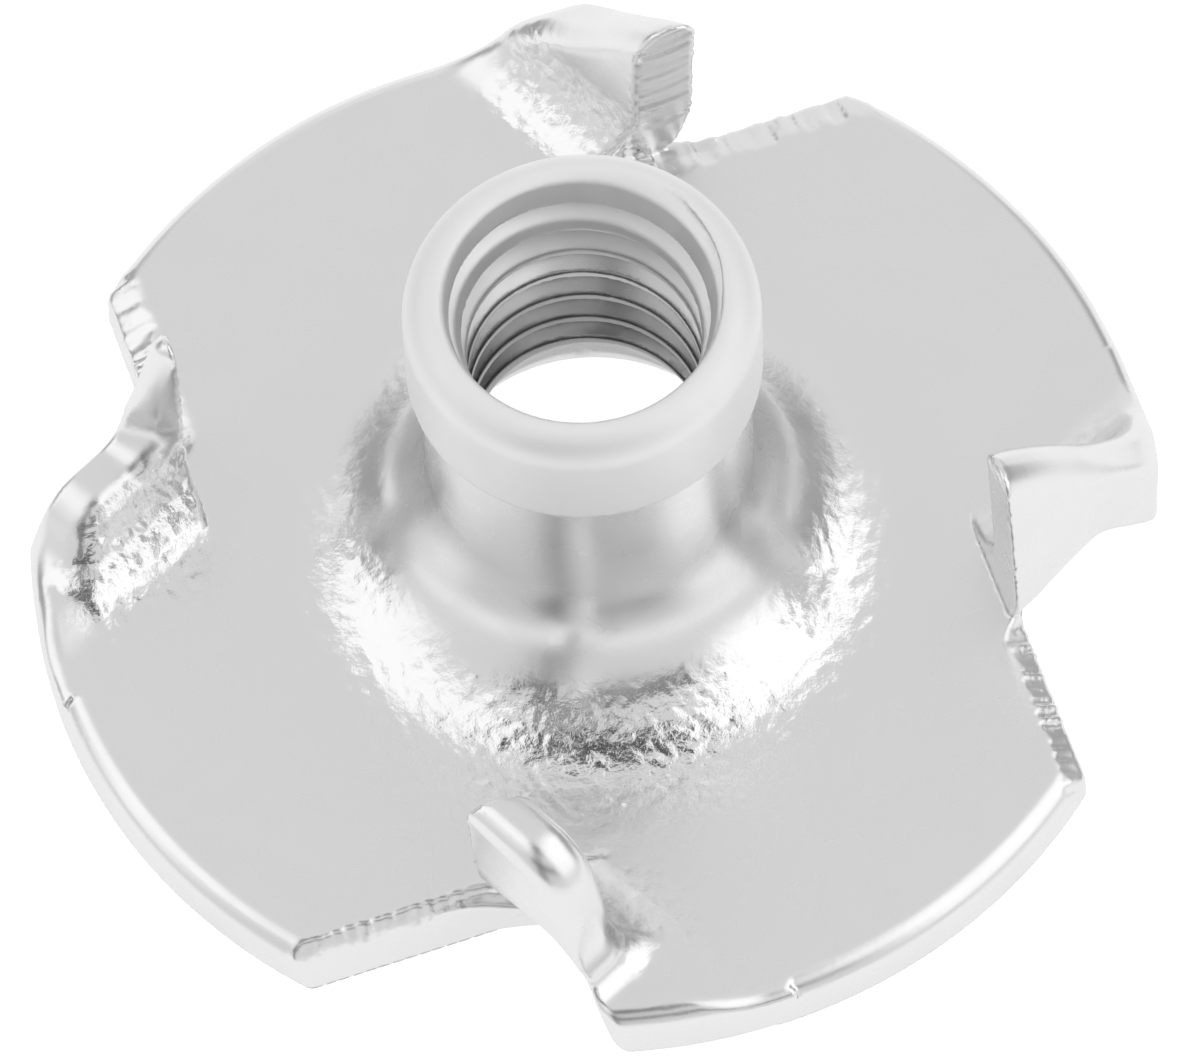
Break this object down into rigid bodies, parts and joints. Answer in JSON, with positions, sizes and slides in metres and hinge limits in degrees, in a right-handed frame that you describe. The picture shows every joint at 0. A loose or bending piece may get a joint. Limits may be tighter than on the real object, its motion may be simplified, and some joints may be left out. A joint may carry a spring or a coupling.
{
  "type": "tee nut",
  "caption": "Pronged tee nut: a round sheet-steel flange drawn up into a threaded barrel, with prongs bent up from notches in its rim to bite into wood.",
  "frame": {"origin": "centre of the flange's flat underside, on the barrel's axis", "axes": "+Z along the barrel, from the flange's underside toward the barrel's mouth; the first prong stands at the +Y side and the others follow every 90 degrees, clockwise seen from +Z"},
  "size_m": [0.0204, 0.0204, 0.0092],
  "materials": {
    "zinc_plated_steel": "bright zinc plate: satin on the flat sheet, bright and uneven where the sheet was drawn, folded and sheared"
  },
  "bodies": {
    "root": {"tee_nut": "zinc_plated_steel"}
  },
  "joints": []
}
